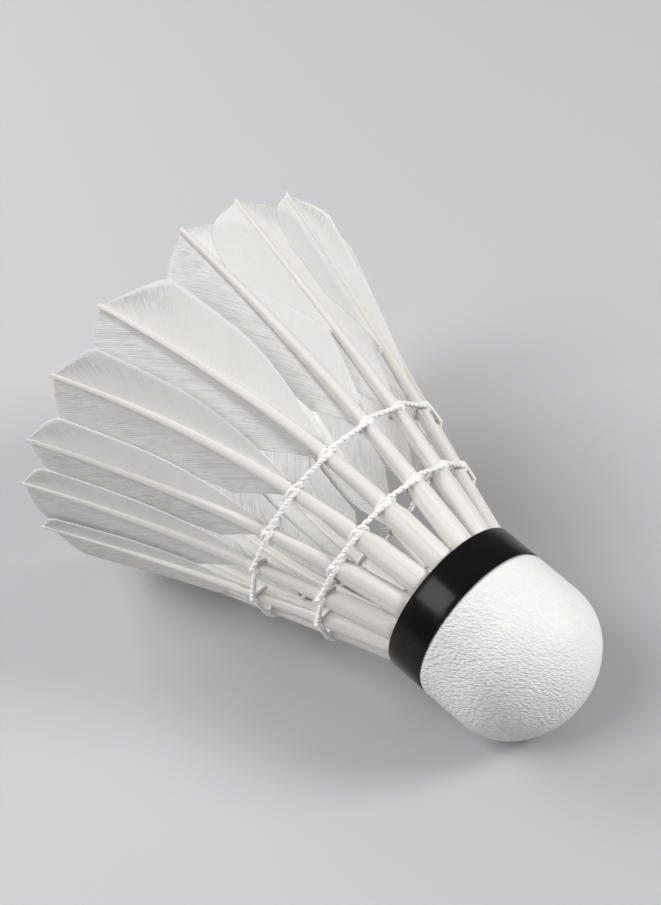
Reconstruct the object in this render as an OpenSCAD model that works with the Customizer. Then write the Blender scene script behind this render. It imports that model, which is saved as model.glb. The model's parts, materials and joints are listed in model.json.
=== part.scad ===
// Feather shuttlecock lying on its side: leather-covered cork base, black rim tape,
// sixteen swept feathers and two rows of lashing thread.
// Every piece is drawn about the shuttlecock's own axis, with Z = 0 on the cork's top face and
// the feather tips at +Z. The whole is then laid down on one side, nose towards +X.
// Lengths are in millimetres and angles in degrees.

/* [Base] */
// Outside diameter of the leather and the tape
base_d = 26; // [25:0.5:28]
// Length of the straight side below the top face
straight_h = 14.3; // [11:0.1:16]
// Height of the dome below the straight side
dome_h = 11.4; // [10.5:0.1:12.4]
// Radius of the rounded shoulder, as a share of the dome's height
shoulder_share = 0.9; // [0.8:0.01:0.95]
// Thickness of the leather cover
leather_t = 0.8; // [0.6:0.05:1.2]
// Radius of the rolled leather edge beside the tape
edge_roll = 1.2; // [0.8:0.1:2]
// Width of the rim tape
tape_w = 6.2; // [5:0.1:8]
// Thickness of the rim tape
tape_t = 0.3; // [0.2:0.05:0.4]

/* [Feathers] */
// Height of the feather tips above the cork's top face
skirt_h = 59.2; // [54:0.2:64]
// Diameter of the circle through the feather tips
tip_circle_d = 66; // [58:0.5:68]
// Outward lean of each quill where it leaves the cork
root_flare = 19.3; // [17:0.1:20.3]
// Sideways sweep of each tip round the axis
tip_sweep_angle = 15; // [0:1:20]

/* [Quills] */
// Width of a quill at the cork
quill_root_w = 3.3; // [2.9:0.1:3.4]
// Depth of a quill at the cork, from its outer to its inner face
quill_root_t = 3.4; // [2.6:0.1:3.6]
// Width of a quill at its tip
quill_tip_w = 0.8; // [0.6:0.05:1.2]
// Depth of a quill at its tip
quill_tip_t = 0.7; // [0.6:0.05:1.2]
// How fast a quill thins above the cork
quill_taper = 1.3; // [1.1:0.05:1.8]
// Depth of the groove along a quill's inner face, as a share of its half depth
groove_share = 0.35; // [0:0.05:0.5]
// Depth of the root inside the cork
peg_depth = 8; // [6:0.5:9]
// Diameter of the root where it enters the cork
peg_top_d = 2; // [1.8:0.05:2.4]
// Diameter of the root at its lower end
peg_foot_d = 1.6; // [1.3:0.05:1.8]
// Thinnest cork left outside a socket, which sets how near the roots are to the rim
socket_wall = 0.1; // [0.1:0.05:0.8]

/* [Vanes] */
// Thickness of a web
web_t = 0.25; // [0.2:0.01:0.35]
// Reach of the outer web towards the next quill, as a share of the spacing
outer_reach = 0.51; // [0.48:0.01:0.6]
// Reach of the inner web towards the quill before, as a share of the spacing
inner_reach = 0.64; // [0.56:0.01:0.66]
// Lift of the outer web's free edge away from the axis, over its neighbour
outer_lift = 2.2; // [1:0.1:2.6]
// Fall of the inner web's free edge, tucked in under its neighbour
inner_tuck = 0.2; // [0:0.05:0.6]
// Share of the web height over which the outer web's trimmed edge widens
leaf_share = 0.55; // [0.4:0.01:0.65]
// Rise of the inner web's lower edge, which follows the barbs
foot_rise = 9; // [6:0.5:12]
// Fall of the outer web's trimmed top edge from the quill tip to its corner
outer_fall = 3.2; // [2.5:0.1:5]
// Fall of the inner web's trimmed top edge
inner_fall = 3.2; // [2.5:0.1:5]
// Extra fall that rounds off the corner of a web
corner_fall = 1; // [0:0.1:2.5]
// Length of bare quill left at the tip
tip_bare = 0.4; // [0.3:0.1:1]

/* [Lashings] */
// Diameter of the thread
thread_d = 0.5; // [0.4:0.05:0.6]
// Height of the lower lashing above the cork's top face
lower_row_h = 11.5; // [9:0.5:14]
// Height of the upper lashing above the cork's top face
upper_row_h = 22; // [19:0.5:25]
// Air between the two turns on each quill
turn_gap = 0.46; // [0.42:0.01:0.6]

/* [Clearances] */
// Air between the cork and the leather, and between the leather and the tape
glue_gap = 0.05; // [0.03:0.01:0.1]
// Air round each quill root in its socket
socket_gap = 0.1; // [0.05:0.01:0.2]
// Air between the cork's top face and the widened foot of a quill
seat_gap = 0.05; // [0.03:0.01:0.1]
// Air between a quill's side and the root of its webs
web_gap = 0.05; // [0.03:0.01:0.1]
// Air between a quill and the thread wound on it
thread_gap = 0.08; // [0.05:0.01:0.15]

/* [Hidden] */
$fn = 96;
feather_count = 16;
spacing = 360 / feather_count;
base_r = base_d / 2;
tip_r = tip_circle_d / 2;
cork_r = base_r - leather_t - glue_gap;
root_r = cork_r - socket_wall - (peg_top_d / 2 + socket_gap) / cos(root_flare);
// The dome is a spherical nose that runs tangent into the rounded shoulder.
base_h = straight_h + dome_h;
shoulder_r = shoulder_share * dome_h;
shoulder_x = base_r - shoulder_r;
nose_r = (pow(shoulder_x, 2) + pow(dome_h, 2) - pow(shoulder_r, 2)) / (2 * (dome_h - shoulder_r));
nose_z = nose_r - base_h;
// Outward bow that carries the leaning quill on to the tip circle
bow = tip_r - root_r - skirt_h * tan(root_flare);
// Length of the root carried up inside the quill, and the overshoot of a cut past the face it opens
peg_overlap = 1.2;
cut_over = 1;
quill_sides = 8;
quill_steps = 10;
web_columns = 5;
web_rows = 7;
lift_curve = 1.5;
corner_curve = 6;
turn_pitch = thread_d + turn_gap;
web_foot = upper_row_h + turn_pitch / 2 + thread_d;
tape_edge_z = -tape_w;

// Turn steps of the thread round one quill: it comes on at the outer face, goes right round
// once and leaves over the outer face again.
turn_first = -60;
turn_last = 420;
turn_step = 30;
// The thread climbs from its lower to its upper turn behind the quill, between these two steps.
climb_first = 120;
climb_last = 240;
turn_count = (turn_last - turn_first) / turn_step;
span_count = 2;
thread_sides = 6;
// Rings of one thread this near to each other along it are parts of the same bend.
bend_rings = 6;

function two_digits(n) = n < 10 ? str("0", n) : str(n);
function quill_name(n) = str("quill_", two_digits(n));
function vane_name(n) = str("vane_", two_digits(n));

// Line of a quill: radius and sideways turn at a height above the cork
function along(z) = z / skirt_h;
function line_r(z) = root_r + z * tan(root_flare) + bow * pow(along(z), 2);
function line_turn(z) = -tip_sweep_angle * pow(along(z), 2);
function thin(z) = pow(max(0, 1 - along(z)), quill_taper);
function quill_w(z) = quill_tip_w + (quill_root_w - quill_tip_w) * thin(z);
function quill_t(z) = quill_tip_t + (quill_root_t - quill_tip_t) * thin(z);

// A point beside the quill's line: side along the ring, out away from the axis
function beside(side, out, z) =
    let (a = line_turn(z), r = line_r(z) + out)
    [r * cos(a) - side * sin(a), r * sin(a) + side * cos(a), z];

function turned(p, a) = [p.x * cos(a) - p.y * sin(a), p.x * sin(a) + p.y * cos(a), p.z];

// Triangles between two neighbouring rings of points
function ring_wall(ring, sides) = [
    for (j = [0 : sides - 1])
    let (a = ring * sides + j, b = ring * sides + (j + 1) % sides)
    each [[a, a + sides, b], [b, a + sides, b + sides]]
];
function tube_faces(rings, sides) = concat(
    [[for (j = [0 : sides - 1]) j]],
    [for (i = [0 : rings - 2]) each ring_wall(i, sides)],
    [[for (j = [sides - 1 : -1 : 0]) (rings - 1) * sides + j]]
);

// Half outline of the base, drawn in from its outside by an even inset
module base_outline(inset) {
    tangent_x = (nose_r - inset) * shoulder_x / (nose_r - shoulder_r);
    intersection() {
        translate([0, nose_z])
            circle(r = nose_r - inset);
        translate([0, -base_h])
            square([tangent_x, dome_h]);
    }
    intersection() {
        translate([shoulder_x, -straight_h])
            circle(r = shoulder_r - inset);
        translate([tangent_x, -base_h])
            square([base_r, dome_h]);
    }
    translate([0, -straight_h])
        square([base_r - inset, straight_h]);
}

// Tapered root of a quill, or the socket for it when it is drawn larger all round
module peg(extra, top) {
    translate([root_r, 0, 0])
        rotate([0, root_flare, 0])
            translate([0, 0, -peg_depth - extra])
                cylinder(h = peg_depth + extra + top,
                         d1 = peg_foot_d + 2 * extra, d2 = peg_top_d + 2 * extra);
}

module cork_core() {
    color("BurlyWood")
        difference() {
            rotate_extrude()
                base_outline(base_r - cork_r);
            for (n = [1 : feather_count])
                rotate([0, 0, feather_turn(n)])
                    peg(socket_gap, peg_overlap);
        }
}

// The cover's edge is rolled down to the tape, and the cover is thinned under the tape.
module leather_cover() {
    under_r = base_r - tape_t - glue_gap;
    edge_z = tape_edge_z - glue_gap;
    roll_x = base_r - edge_roll;
    roll_z = edge_z - sqrt(pow(edge_roll, 2) - pow(under_r - roll_x, 2));
    color("WhiteSmoke")
        rotate_extrude()
            difference() {
                base_outline(0);
                base_outline(leather_t);
                translate([under_r, edge_z])
                    square([base_r, tape_w + cut_over]);
                difference() {
                    translate([under_r, roll_z])
                        square([base_r, edge_z - roll_z]);
                    translate([roll_x, roll_z])
                        circle(r = edge_roll);
                }
            }
}

module rim_tape() {
    color("#141414")
        translate([0, 0, tape_edge_z])
            difference() {
                cylinder(h = tape_w, r = base_r);
                translate([0, 0, -cut_over])
                    cylinder(h = tape_w + 2 * cut_over, r = base_r - tape_t);
            }
}

// One ring of a quill: oval outside, with a groove along the inner face that runs out at the root
inner_face_angle = 270;
function quill_ring(z) = [
    for (j = [0 : quill_sides - 1])
    let (a = 360 * j / quill_sides,
         groove = a == inner_face_angle ? 1 - groove_share * (1 - thin(z)) : 1)
    beside(-quill_w(z) / 2 * cos(a), quill_t(z) / 2 * sin(a) * groove, z)
];

module quill() {
    rings = [
        for (i = [0 : quill_steps])
        quill_ring(seat_gap + (skirt_h - seat_gap) * i / quill_steps)
    ];
    color("Ivory") {
        polyhedron(points = [for (ring = rings) each ring],
                   faces = tube_faces(quill_steps + 1, quill_sides));
        peg(0, peg_overlap);
    }
}

// Height limits of a web, q = 0 at the quill and q = 1 at the free edge.
// way is +1 for the outer web and -1 for the inner one.
function web_top(way, q) =
    skirt_h - tip_bare - (way > 0 ? outer_fall : inner_fall) * q
    - corner_fall * pow(q, corner_curve);
function web_bottom(way, q) = way > 0
    ? web_foot + (skirt_h - web_foot) * leaf_share * (1 - sqrt(1 - q))
    : web_foot + foot_rise * q;

// A point of a web, v = 0 at its lower edge and v = 1 at its top edge
function web_point(way, q, v, out) =
    let (foot = web_bottom(way, q),
         z = foot + (web_top(way, q) - foot) * v,
         reach = (way > 0 ? outer_reach : inner_reach) * spacing,
         lift = (way > 0 ? outer_lift : -inner_tuck) * line_r(z) / tip_r,
         start = atan2(quill_w(z) / 2 + web_gap, line_r(z)),
         a = line_turn(z) + way * (start + (reach - start) * q),
         r = line_r(z) + lift * pow(q, lift_curve) + out)
    [r * cos(a), r * sin(a), z];

function sheet_points(way) = [
    for (out = [web_t / 2, -web_t / 2], j = [0 : web_columns], i = [0 : web_rows])
    web_point(way, j / web_columns, i / web_rows, out)
];
function sheet_index(face, j, i) = (face * (web_columns + 1) + j) * (web_rows + 1) + i;
function quad(a, b, c, d) = [[a, b, c], [a, c, d]];
// The closed edge of a sheet, counted once round
function sheet_rim(face) = concat(
    [for (j = [0 : web_columns - 1]) sheet_index(face, j, 0)],
    [for (i = [0 : web_rows - 1]) sheet_index(face, web_columns, i)],
    [for (j = [web_columns : -1 : 1]) sheet_index(face, j, web_rows)],
    [for (i = [web_rows : -1 : 1]) sheet_index(face, 0, i)]
);
function sheet_faces() =
    let (near = sheet_rim(0), far = sheet_rim(1), count = len(near))
    concat(
        [for (j = [0 : web_columns - 1], i = [0 : web_rows - 1])
            each quad(sheet_index(0, j, i), sheet_index(0, j, i + 1),
                      sheet_index(0, j + 1, i + 1), sheet_index(0, j + 1, i))],
        [for (j = [0 : web_columns - 1], i = [0 : web_rows - 1])
            each quad(sheet_index(1, j, i), sheet_index(1, j + 1, i),
                      sheet_index(1, j + 1, i + 1), sheet_index(1, j, i + 1))],
        [for (e = [0 : count - 1])
            each quad(near[e], near[(e + 1) % count], far[(e + 1) % count], far[e])]
    );
function flipped(faces) = [for (f = faces) [f[2], f[1], f[0]]];

module web(way) {
    faces = way > 0 ? sheet_faces() : flipped(sheet_faces());
    polyhedron(points = sheet_points(way), faces = faces);
}

module vane() {
    color("Gainsboro") {
        web(1);
        web(-1);
    }
}

// At rest the corners of two neighbouring outer webs and the shoulder of the base are on the floor.
corner = web_point(1, 1, 1, web_t / 2);
corner_turn = atan2(corner.y, corner.x);
// Turn of feather n, set so that the lowest two corners are level
function feather_turn(n) = (n - 0.5) * spacing - corner_turn;
// Dip at which a point at radius r and height z would meet the floor together with the shoulder
function floor_dip(r, z) =
    acos(shoulder_r / norm([z + straight_h, r - shoulder_x]))
    - atan2(z + straight_h, r - shoulder_x);
rest_dip = max([
    for (p = concat(sheet_points(1), quill_ring(skirt_h)), half = [-spacing / 2, spacing / 2])
    let (down = corner_turn + half)
    floor_dip(p.x * cos(down) + p.y * sin(down), p.z)
]);

// Line of one lashing: a full turn round each quill, then a straight span to the next one
function climb(w) = min(1, max(0, (w - climb_first) / (climb_last - climb_first)));
function turn_height(w) = turn_pitch * (climb(w) - 0.5);
function turn_point(row_h, n, w) =
    let (z = row_h + turn_height(w),
         air = thread_d / 2 + thread_gap)
    turned(beside((quill_w(z) / 2 + air) * sin(w), (quill_t(z) / 2 + air) * cos(w), z),
           feather_turn(n));
function span_point(row_h, n, share) =
    turn_point(row_h, n, turn_last) * (1 - share)
    + turn_point(row_h, n + 1, turn_first) * share;
function lashing_line(row_h) = concat(
    [for (n = [1 : feather_count])
        each concat(
            [for (i = [0 : turn_count]) turn_point(row_h, n, turn_first + i * turn_step)],
            n < feather_count
                ? [for (i = [1 : span_count]) span_point(row_h, n, i / (span_count + 1))]
                : []
        )]
);
// Straight ends, one thread diameter long, along the line of the neighbouring span
function with_ends(line, row_h) =
    let (first = line[0],
         last = line[len(line) - 1],
         before = span_point(row_h, 0, 0.5) - first,
         after = span_point(row_h, feather_count, 0.5) - last)
    concat([first + before / norm(before) * thread_d], line,
           [last + after / norm(after) * thread_d]);

function unit(v) = v / norm(v);
function tube_ring(line, i) =
    let (last = len(line) - 1,
         ahead = unit(line[min(i + 1, last)] - line[max(i - 1, 0)]),
         across = unit(cross([0, 0, 1], ahead)),
         over = cross(ahead, across))
    [for (j = [0 : thread_sides - 1])
        let (a = 360 * j / thread_sides)
        line[i] + thread_d / 2 * (across * cos(a) + over * sin(a))];

// Least air between two stretches of one thread that aren't next to each other on it
function least_air(line) = min([
    for (i = [0 : len(line) - 1], j = [i + bend_rings : 1 : len(line) - 1])
    norm(line[i] - line[j])
]) - thread_d;

module lashing(row_h) {
    line = with_ends(lashing_line(row_h), row_h);
    echo(row_h = row_h, least_air_between_turns = least_air(line));
    color("Snow")
        polyhedron(points = [for (i = [0 : len(line) - 1]) each tube_ring(line, i)],
                   faces = tube_faces(len(line), thread_sides));
}

// Lays the shuttlecock on its side, nose towards +X and dipping
module lying() {
    rotate([0, rest_dip - 90, 0])
        children();
}

lying() cork_core();
lying() leather_cover();
lying() rim_tape();
lying() lashing(lower_row_h);  // thread_lower
lying() lashing(upper_row_h);  // thread_upper
for (n = [1 : feather_count]) {
    lying() rotate([0, 0, feather_turn(n)]) quill();
    lying() rotate([0, 0, feather_turn(n)]) vane();
}
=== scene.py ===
import json
import math
import random
import bpy
from mathutils import Matrix, Vector, noise


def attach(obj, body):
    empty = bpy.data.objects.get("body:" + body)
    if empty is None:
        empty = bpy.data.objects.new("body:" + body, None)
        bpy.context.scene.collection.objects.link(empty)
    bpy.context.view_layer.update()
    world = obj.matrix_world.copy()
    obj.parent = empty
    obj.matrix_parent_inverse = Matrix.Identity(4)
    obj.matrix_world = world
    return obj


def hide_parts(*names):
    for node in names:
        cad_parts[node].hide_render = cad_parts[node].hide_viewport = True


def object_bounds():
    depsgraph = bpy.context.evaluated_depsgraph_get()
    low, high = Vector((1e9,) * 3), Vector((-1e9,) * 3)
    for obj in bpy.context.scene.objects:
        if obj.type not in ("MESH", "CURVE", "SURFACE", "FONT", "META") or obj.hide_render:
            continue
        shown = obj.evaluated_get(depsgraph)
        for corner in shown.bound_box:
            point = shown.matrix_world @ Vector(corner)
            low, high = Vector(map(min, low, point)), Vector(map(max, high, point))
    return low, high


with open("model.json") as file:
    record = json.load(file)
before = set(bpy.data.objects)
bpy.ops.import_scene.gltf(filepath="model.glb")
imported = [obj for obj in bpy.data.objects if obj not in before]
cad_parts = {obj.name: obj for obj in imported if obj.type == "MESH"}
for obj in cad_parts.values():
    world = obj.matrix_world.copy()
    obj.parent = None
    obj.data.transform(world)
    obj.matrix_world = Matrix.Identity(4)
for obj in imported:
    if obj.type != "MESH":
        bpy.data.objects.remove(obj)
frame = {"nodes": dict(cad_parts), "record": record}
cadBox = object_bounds()
mm = 0.001
weldWithin = 0.004
print("frame loaded with", len(frame["nodes"]), "solids")

# every piece is modelled standing on its nose, tips up, and then laid on its side like the solids
noseAxis = Vector(frame["record"]["mounts"][0]["axis"])
restDip = math.asin(-noseAxis.z)
lying = Matrix.Rotation(restDip - math.pi / 2, 4, "Y")

# skirt: the line that every feather follows, in mm and degrees
skirt = {
    "count": 16,
    "height": 59.2,
    "rootRadius": 10.8845,
    "tipRadius": 33.0,
    "flare": 19.3,          # lean of a quill where it leaves the cork
    "sweep": 15.0,          # sideways sweep of a tip round the axis
    "cornerTurn": -1.284,   # turn that sets two web corners level on the floor
    "webFoot": 22.98,       # webs start just above the upper lashing
    # single feathers that stand out of step at the tip, and what the others may stray
    "nudge": {
        1: 4.2, 2: 1.3, 3: 0.5, 4: 1.8, 8: 0.0, 9: 0.0,
        12: 0.8, 13: 4.3, 14: -1.2, 15: -2.7, 16: -3.0,
    },
    "looseNudge": 1.0,
    # single feathers' bend to one side between root and tip, and that of the others
    "sway": {
        1: -1.9, 2: -5.0, 3: -3.0, 8: 0.0, 9: 0.0,
        12: -1.0, 13: -0.8, 14: -3.6, 15: -2.7, 16: -4.4,
    },
    "looseSway": (-3.2, -1.4),
    "seed": 16,
}
feathers = range(1, skirt["count"] + 1)
spacing = 2 * math.pi / skirt["count"]
lean = math.tan(math.radians(skirt["flare"]))
bow = skirt["tipRadius"] - skirt["rootRadius"] - skirt["height"] * lean
draw = random.Random(skirt["seed"])
tipNudge = {}
sway = {}
for n in feathers:
    stray = draw.uniform(-1, 1) * skirt["looseNudge"]
    tipNudge[n] = math.radians(skirt["nudge"].get(n, stray))
    sway[n] = math.radians(skirt["sway"].get(n, draw.uniform(*skirt["looseSway"])))


def along(z):
    return max(0.0, z) / skirt["height"]


def lineRadius(z):
    return skirt["rootRadius"] + z * lean + bow * along(z) ** 2


def lineTurn(n, z):
    bent = sway[n] * along(z) * math.sin(math.pi * min(1.0, along(z)))
    return (tipNudge[n] - math.radians(skirt["sweep"])) * along(z) ** 2 + bent


def featherTurn(n):
    return (n - 0.5) * spacing - math.radians(skirt["cornerTurn"])


def onRing(radius, turn, z):
    return Vector((radius * math.cos(turn), radius * math.sin(turn), z)) * mm


def only(*objs):
    bpy.ops.object.select_all(action="DESELECT")
    for o in objs:
        o.select_set(True)
    if objs:
        bpy.context.view_layer.objects.active = objs[0]


def named(name):
    piece = bpy.context.object
    piece.name = name
    piece.data.name = name
    return piece


def openAll():
    bpy.ops.object.mode_set(mode="EDIT")
    bpy.ops.mesh.select_all(action="SELECT")


def closeEdit():
    bpy.ops.object.mode_set(mode="OBJECT")


def applyPlace():
    bpy.ops.object.transform_apply(location=True, rotation=True, scale=True)


def warp(piece, shape):
    for v in piece.data.vertices:
        v.co = shape(v.co)
    piece.data.update()


def useModifier(piece, kind, **settings):
    only(piece)
    modifier = piece.modifiers.new(kind.lower(), kind)
    for key, value in settings.items():
        setattr(modifier, key, value)
    bpy.ops.object.modifier_apply(modifier=modifier.name)


def layDown(piece):
    only(piece)
    piece.matrix_world = lying @ piece.matrix_world
    applyPlace()


def faceOutwards(piece):
    only(piece)
    openAll()
    bpy.ops.mesh.remove_doubles(threshold=weldWithin * mm)
    bpy.ops.mesh.normals_make_consistent(inside=False)
    closeEdit()


# for a shape that mirrors its mesh
def turnFaces(piece):
    only(piece)
    openAll()
    bpy.ops.mesh.flip_normals()
    closeEdit()


def smooth(piece, angle):
    only(piece)
    bpy.ops.object.shade_smooth_by_angle(angle=math.radians(angle))


def dress(piece, material, slotName, *nodes):
    piece.data.materials.clear()
    piece.data.materials.append(material)
    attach(piece, "root")
    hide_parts(*nodes)


# a socket of a material, so that sums on it read as sums
class Shade:
    def __init__(self, tree, socket):
        self.tree = tree
        self.socket = socket

    def feed(self, target, value):
        if isinstance(value, Shade):
            self.tree.links.new(value.socket, target)
        else:
            target.default_value = value

    def put(self, kind, settings=None, sockets=None, take=0):
        node = self.tree.nodes.new(kind)
        for key, value in (settings or {}).items():
            setattr(node, key, value)
        for key, value in (sockets or {}).items():
            self.feed(node.inputs[key], value)
        return Shade(self.tree, node.outputs[take])

    def other(self, take):
        return Shade(self.tree, self.socket.node.outputs[take])

    def sum(self, operation, first, second=0.0):
        return self.put("ShaderNodeMath", {"operation": operation}, {0: first, 1: second})

    def __add__(self, other):
        return self.sum("ADD", self, other)

    def __radd__(self, other):
        return self.sum("ADD", other, self)

    def __sub__(self, other):
        return self.sum("SUBTRACT", self, other)

    def __rsub__(self, other):
        return self.sum("SUBTRACT", other, self)

    def __mul__(self, other):
        return self.sum("MULTIPLY", self, other)

    def __rmul__(self, other):
        return self.sum("MULTIPLY", other, self)

    def __truediv__(self, other):
        return self.sum("DIVIDE", self, other)

    def clipped(self, low, high):
        return self.put("ShaderNodeMapRange", {"clamp": True}, {0: self, 1: low, 2: high, 3: 0.0, 4: 1.0})

    def between(self, first, second):
        return self.put("ShaderNodeMix", {"data_type": "RGBA"}, {0: self, 6: first, 7: second}, 2)


def newMaterial(name):
    material = bpy.data.materials.new(name)
    material.use_nodes = True
    tree = material.node_tree
    surface = tree.nodes["Principled BSDF"]
    return material, surface, Shade(tree, surface.outputs[0])


def rgb(r, g, b):
    return (r, g, b, 1.0)


def bumped(start, surface, height, strength, distance):
    sockets = {"Strength": strength, "Distance": distance * mm, "Height": height}
    start.feed(surface.inputs["Normal"], start.put("ShaderNodeBump", None, sockets))


def noiseOf(start, vector, scale, detail, roughness=0.55, distortion=0.0):
    sockets = {
        "Vector": vector, "Scale": scale, "Detail": detail,
        "Roughness": roughness, "Distortion": distortion}
    return start.put("ShaderNodeTexNoise", None, sockets)


def placeOf(start):
    return start.put("ShaderNodeTexCoord", None, None, 3)


def placeNoise(start, settings):
    return noiseOf(start, placeOf(start), *settings)


def onAxis(start, axis):
    return start.put("ShaderNodeVectorMath", {"operation": "DOT_PRODUCT"}, {0: placeOf(start), 1: axis}, 1)


# in the looks below a noise is scale, detail and so on, a band is where a mask begins and is full,
# and bump is strength and depth in mm
# webs: barbs as fine lines that run out from the shaft, a painted highlight along the free edge, painted
# shade on the inner webs, light showing through
webLook = {
    "outer": rgb(0.905, 0.896, 0.882),
    # inner webs are painted darker, painted shade where they lie under the shaft and the neighbour's outer
    # web
    "inner": rgb(0.86, 0.858, 0.85),
    "line": rgb(0.52, 0.515, 0.505),
    # the free edge is painted paler, a painted highlight where the curled barb tips catch the light
    "edge": rgb(0.97, 0.965, 0.955),
    "through": rgb(0.94, 0.93, 0.91),
    "throughShare": 0.36,
    "innerBand": (1.4, 1.6),    # the way across is 0 to 1 on outer webs and 2 to 3 on inner ones
    "innerShift": 2.0,
    "wanderNoise": (240.0, 2.0),
    "tuftNoise": (620.0, 3.0),
    "cloudNoise": (90.0, 2.0),
    "barbs": 60,
    "barbStray": 4.0,
    "streakLength": 1.3,
    "streaks": 190.0,
    "streakStray": 6.0,
    "streakSpread": 9.0,
    "streakNoise": (1.0, 2.0),
    "streakBand": (0.42, 0.66),
    "streakShade": 0.9,
    "ridgeShade": 0.25,
    "cornerReach": (0.35, 0.75),
    "cornerRow": (0.5, 0.8),
    "depth": 0.13,
    # barb lines run deeper on inner webs, barb texture deepened as painted shade
    "innerLinesAndShade": 0.8,
    "cornerDepth": 0.95,
    "tuftFloor": 0.4,
    "tuftShade": 0.9,
    "cloudBand": (0.4, 0.75),
    "cloudShade": 0.08,
    "edgeHighlightBand": (0.91, 0.945),
    "innerHighlightCut": 0.85,          # how much of the painted edge highlight an inner web lacks
    "roughness": 0.52,
    "tuftRoughness": 0.2,
    "specular": 0.3,
    "ridgeBump": 0.4,
    "streakBump": 0.6,
    "bump": (0.5, 0.06),
}


def makeWebFinish():
    look = webLook
    material, surface, start = newMaterial("featherWeb")
    uv = start.put("ShaderNodeUVMap", {"uv_map": "UVMap"})
    split = start.put("ShaderNodeSeparateXYZ", None, {0: uv})
    inner = split.clipped(*look["innerBand"])
    reach = split - inner * look["innerShift"]
    row = split.other(1)
    wander = placeNoise(start, look["wanderNoise"])
    tufts = placeNoise(start, look["tuftNoise"])
    cloud = placeNoise(start, look["cloudNoise"])
    phase = row * (look["barbs"] * 2 * math.pi) + wander * look["barbStray"]
    ridge = start.sum("SINE", phase) * 0.5 + 0.5
    streakPlace = start.put("ShaderNodeCombineXYZ", None, {
        0: reach * look["streakLength"],
        1: row * look["streaks"] + wander * look["streakStray"],
        2: cloud * look["streakSpread"]})
    streak = noiseOf(start, streakPlace, *look["streakNoise"])
    lines = (1 - ridge) * look["ridgeShade"] + streak.clipped(*look["streakBand"]) * look["streakShade"]
    corner = reach.clipped(*look["cornerReach"]) * row.clipped(*look["cornerRow"])
    # inner webs get deeper lines and a darker tone, painted shade
    depth = look["depth"] + inner * look["innerLinesAndShade"] + (1 - inner) * corner * look["cornerDepth"]
    haze = cloud.clipped(*look["cloudBand"]) * look["cloudShade"]
    dull = (lines * depth * (look["tuftFloor"] + tufts * look["tuftShade"]) + haze).clipped(0.0, 1.0)
    body = dull.between(inner.between(look["outer"], look["inner"]), look["line"])
    # painted highlight along the free edge, mostly left off inner webs
    edge = reach.clipped(*look["edgeHighlightBand"]) * (1 - inner * look["innerHighlightCut"])
    start.feed(surface.inputs["Base Color"], edge.between(body, look["edge"]))
    start.feed(surface.inputs["Roughness"], look["roughness"] + tufts * look["tuftRoughness"])
    surface.inputs["Specular IOR Level"].default_value = look["specular"]
    bumped(start, surface, ridge * look["ridgeBump"] - streak * look["streakBump"], *look["bump"])
    glow = start.put("ShaderNodeBsdfTranslucent", None, {0: look["through"]})
    whole = start.put("ShaderNodeMixShader", None, {0: look["throughShare"], 1: start, 2: glow})
    start.feed(start.tree.nodes["Material Output"].inputs[0], whole)
    return material


# quills: ivory keratin, satin, with faint streaks along the shaft
quillLook = {
    "ivory": rgb(0.73, 0.705, 0.675),
    "streak": rgb(0.55, 0.50, 0.455),
    "horn": rgb(0.77, 0.74, 0.71),
    "hornBand": (0.15, 0.5),    # share of the height where the horny root turns to ivory
    "hornShare": 0.55,
    "streakNoise": (3.2, 4.0, 0.65),
    "streakBand": (0.5, 0.66),
    "streakShade": 0.25,
    "lowShade": 0.12,
    "fineNoise": (9.0, 3.0, 0.6),
    "fineBand": (0.52, 0.72),
    "fineShade": 0.2,
    "apart": 3.1,               # step between two quills in the space of the streaks
    "roughness": 0.34,
    "fineRoughness": 0.25,
    "depthShare": 0.12,         # light that goes below the skin, and how far
    "depthTint": (1.0, 0.8, 0.6),
    "depth": 0.6,
    "streakBump": 0.4,
    "fineBump": 0.6,
    "bump": (0.35, 0.05),
}


def makeQuillFinish():
    look = quillLook
    material, surface, start = newMaterial("quillHorn")
    grainPlace = start.put("ShaderNodeAttribute", {"attribute_name": "streak"}, None, 1)
    split = start.put("ShaderNodeSeparateXYZ", None, {0: grainPlace})
    streaks = noiseOf(start, grainPlace, *look["streakNoise"])
    fine = noiseOf(start, grainPlace, *look["fineNoise"])
    low = 1 - split.other(2).clipped(*look["hornBand"])
    hornBody = (low * look["hornShare"]).between(look["ivory"], look["horn"])
    broadMask = streaks.clipped(*look["streakBand"]) * (look["streakShade"] + low * look["lowShade"])
    mask = broadMask + fine.clipped(*look["fineBand"]) * look["fineShade"]
    start.feed(surface.inputs["Base Color"], mask.between(hornBody, look["streak"]))
    start.feed(surface.inputs["Roughness"], look["roughness"] + fine * look["fineRoughness"])
    surface.inputs["Subsurface Weight"].default_value = look["depthShare"]
    surface.inputs["Subsurface Radius"].default_value = look["depthTint"]
    surface.inputs["Subsurface Scale"].default_value = look["depth"] * mm
    bumped(start, surface, fine * look["fineBump"] + streaks * look["streakBump"], *look["bump"])
    return material


# thread: white twisted cotton stiffened with clear glue
threadLook = {
    "white": rgb(0.88, 0.87, 0.85),
    "dull": rgb(0.66, 0.645, 0.63),
    "fibreNoise": (2600.0, 3.0, 0.6),
    "fibreBand": (0.45, 0.8),
    "fibreShade": 0.35,
    "dirtNoise": (240.0, 2.0),
    "dirtBand": (0.5, 0.8),
    "dirtShade": 0.35,
    "roughness": 0.45,
    "fibreRoughness": 0.35,
    "glueBand": (0.35, 0.7),
    "glue": 0.3,
    "glueRoughness": 0.35,
    "bump": (0.5, 0.04),
}


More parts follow.
